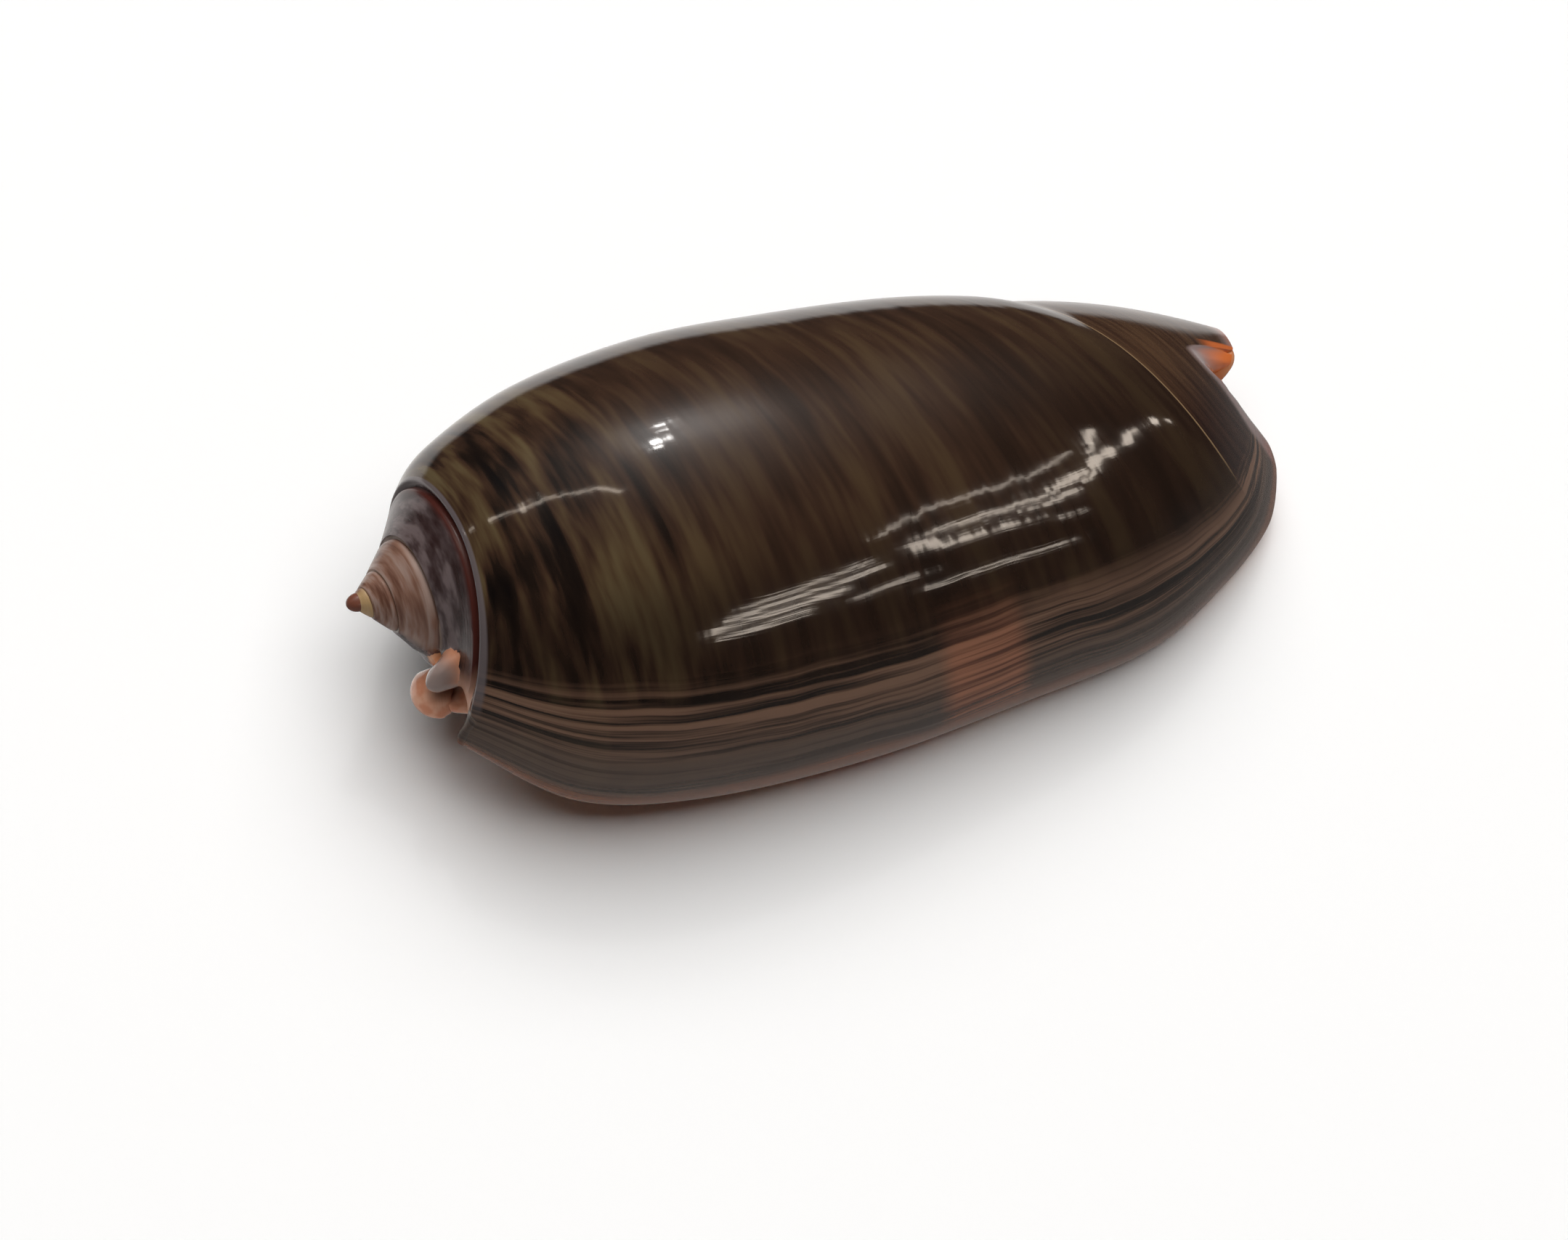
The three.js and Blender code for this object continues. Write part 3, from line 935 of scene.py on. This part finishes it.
# Relief: growth lines that deepen towards the lip, and a slight waviness that breaks up reflections.
waves = stretched(30.0, 12.0)
line_depth = paint.plus(0.04, by_angle(48, 76, 0.0, 0.14), paint.times(lip_zone, 0.25))
wave_depth = paint.span(along_map, LINE_ALONG - 0.01, LINE_ALONG + 0.01, 0.35, 0.05)
height = paint.plus(
    paint.times(lines, line_depth),
    paint.times(waves, wave_depth),
    paint.times(middle_bands, wave_depth, 0.35),
)
bump = paint.tree.nodes.new("ShaderNodeBump")
bump.inputs["Distance"].default_value = 0.0001
bump.inputs["Strength"].default_value = 0.6
paint.put(bump.inputs["Height"], height)
paint.put(surface.inputs["Normal"], bump.outputs[0])

shell.data.materials.clear()
shell.data.materials.append(finish)

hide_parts("shell")
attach(shell, "root")

# Camera at the photograph's view.
CAMERA_BACK = Vector((-0.3257, -0.3945, 0.8593))
CAMERA_RIGHT = Vector((0.905, -0.3932, 0.1626))
CAMERA_DISTANCE = 292.5
CAMERA_LENS = 104.2
IMAGE_WIDTH = 2159
SHIFT_PIXELS = (42.2, -188.6)

camera_data = bpy.data.cameras.new("camera")
camera_data.lens = CAMERA_LENS
camera_data.sensor_width = 36
camera_data.shift_x = -SHIFT_PIXELS[0] / IMAGE_WIDTH
camera_data.shift_y = SHIFT_PIXELS[1] / IMAGE_WIDTH
camera_data.clip_start = 0.01
camera = bpy.data.objects.new("camera", camera_data)
back = CAMERA_BACK.normalized()
right = (CAMERA_RIGHT - back * CAMERA_RIGHT.dot(back)).normalized()
above = back.cross(right)
middle = LAID_DOWN @ Vector((LENGTH / 2, 0, 0))
turn = Matrix((right, above, back)).transposed().to_4x4()
camera.matrix_world = Matrix.Translation(middle + back * CAMERA_DISTANCE * MM) @ turn
bpy.context.scene.collection.objects.link(camera)
bpy.context.scene.camera = camera

# Floor and soft light.
bm = bmesh.new()
bmesh.ops.create_grid(bm, x_segments=1, y_segments=1, size=1.5)
floor_mesh = bpy.data.meshes.new("floor")
bm.to_mesh(floor_mesh)
bm.free()
floor = bpy.data.objects.new("floor", floor_mesh)
bpy.context.scene.collection.objects.link(floor)
floor_paint = bpy.data.materials.new("floor_paint")
floor_paint.use_nodes = True
floor_surface = floor_paint.node_tree.nodes["Principled BSDF"]
floor_surface.inputs["Base Color"].default_value = (0.93, 0.95, 0.97, 1)
floor_surface.inputs["Roughness"].default_value = 0.9
floor_surface.inputs["Specular IOR Level"].default_value = 0.1
floor_mesh.materials.append(floor_paint)
floor.visible_glossy = False

bpy.context.scene.view_settings.view_transform = "Standard"


def direction(azimuth, elevation):
    turn, lift = math.radians(azimuth), math.radians(elevation)
    return Vector((math.sin(turn) * math.cos(lift), -math.cos(turn) * math.cos(lift), math.sin(lift)))


# Room: dark, with soft glows high up behind the shell, and a pale table top that gloss alone sees.
ROOM_STRENGTH = 0.03
GLOWS = (
    {"azimuth": 160, "elevation": 58, "strength": 0.95, "spread": 0.08},
    {"azimuth": 158, "elevation": 53, "strength": 2.2, "spread": 0.014},
)
FAR_TABLE = 0.9
NEAR_TABLE = 0.14
world = bpy.data.worlds.new("room")
room = Paint(world)
background = room.tree.nodes["Background"]
background.inputs["Color"].default_value = (1, 0.97, 0.94, 1)
towards = room.coordinates("Generated")
_, depth, lift = room.split(towards)
strength = ROOM_STRENGTH
for glow in GLOWS:
    centre = direction(glow["azimuth"], glow["elevation"])
    gap = room.math("SUBTRACT", room.vector("DOT_PRODUCT", towards, centre), 1.0)
    lobe = room.math("EXPONENT", room.math("DIVIDE", gap, glow["spread"]))
    strength = room.plus(room.times(lobe, glow["strength"]), strength)
far_side = room.span(depth, 0.25, 0.6)
far_table = room.times(room.span(lift, -0.42, -0.3, FAR_TABLE, 0.0), far_side)
near_side = room.math("SUBTRACT", 1.0, far_side)
near_table = room.times(room.span(lift, -0.5, 0.1, NEAR_TABLE, 0.0), near_side)
room.put(background.inputs["Strength"], room.plus(strength, far_table, near_table))
bpy.context.scene.world = world


def panel(name, azimuth, elevation, distance, width, height, radiance, shape="RECTANGLE"):
    """Area light that faces the shell."""
    data = bpy.data.lights.new(name, "AREA")
    data.shape = shape
    data.size = width
    data.size_y = height
    data.color = (1, 0.97, 0.94)
    data.energy = radiance * math.pi * width * height
    light = bpy.data.objects.new(name, data)
    towards_light = direction(azimuth, elevation)
    light.location = towards_light * distance
    light.rotation_euler = towards_light.to_track_quat("Z", "Y").to_euler()
    light.visible_camera = False
    bpy.context.scene.collection.objects.link(light)
    return light


# Small round lamps, by azimuth, elevation and width, and a wide softbox.
LAMPS = ((163, 58, 0.05), (163, 61, 0.025), (163, 50, 0.03), (162, 53, 0.02))
LAMP_DISTANCE = 1.5
LAMP_RADIANCE = 90
SOFTBOX_WIDTH = 1.8
SOFTBOX_RADIANCE = 2.8
for number, (azimuth, elevation, width) in enumerate(LAMPS):
    panel(f"lamp_{number}", azimuth, elevation, LAMP_DISTANCE, width, width, LAMP_RADIANCE, "DISK")
softbox = panel("softbox", 160, 74, LAMP_DISTANCE, SOFTBOX_WIDTH, SOFTBOX_WIDTH, SOFTBOX_RADIANCE)
softbox.visible_glossy = False

# Window at the front right, seen in the gloss alone: azimuth, elevation, and angles that each pane covers.
PANE_COLOUR = (1, 0.87, 0.74)
PANE_DISTANCE = 3.0
PANE_RADIANCE = 13
WINDOW_PANES = (
    (14, 23, 12, 1.2), (16, 27, 18, 1.5), (22, 30.5, 22, 1.2), (24, 34, 18, 0.8), (30, 21, 10, 0.8),
    (56, 41.5, 22, 0.6), (42, 30, 2, 6), (48, 34, 7, 1.2), (50, 31, 6, 1.4), (57, 35, 7, 2.2),
    (60, 32, 6, 1.6), (67, 33.5, 6, 3.2), (73, 31, 4, 3.5), (74, 36, 5, 1.2),
    (80, 37, 7, 2.2), (80, 27, 6, 2.4), (86, 22, 3, 3), (89, 15, 1, 3), (36, 14, 6, 0.8), (45, 24, 2, 1),
)
for number, (azimuth, elevation, wide, tall) in enumerate(WINDOW_PANES):
    width = math.radians(wide) * PANE_DISTANCE
    height = math.radians(tall) * PANE_DISTANCE
    pane = panel(f"window_{number}", azimuth, elevation, PANE_DISTANCE, width, height, PANE_RADIANCE)
    pane.data.color = PANE_COLOUR
    pane.visible_diffuse = False

# Broken bright line high on the left: where each bar starts and ends, and its thickness.
BARS = (
    ((-119, 20), (-118, 23), 1.2), ((-118, 25), (-119, 30), 0.8), ((-121, 38), (-125, 45), 1.5),
    ((-125, 45), (-138, 58), 0.7), ((-133, 58), (-141, 55), 1.0), ((-138, 58), (-150, 69), 0.8),
    ((-150, 69), (-164, 77), 1.3),
)
BAR_RADIANCE = 10
for number, (start, end, thickness) in enumerate(BARS):
    start, end = direction(*start), direction(*end)
    out = (start + end).normalized()
    across = out.cross(end - start).normalized()
    run = across.cross(out)
    width = math.radians(thickness) * PANE_DISTANCE
    height = (end - start).length * PANE_DISTANCE
    bar = panel(f"bar_{number}", 0, 0, PANE_DISTANCE, width, height, BAR_RADIANCE)
    bar.data.color = PANE_COLOUR
    turned = Matrix((across, run * -1, out)).transposed().to_4x4()
    bar.matrix_world = Matrix.Translation(out * PANE_DISTANCE) @ turned
    bar.visible_diffuse = False
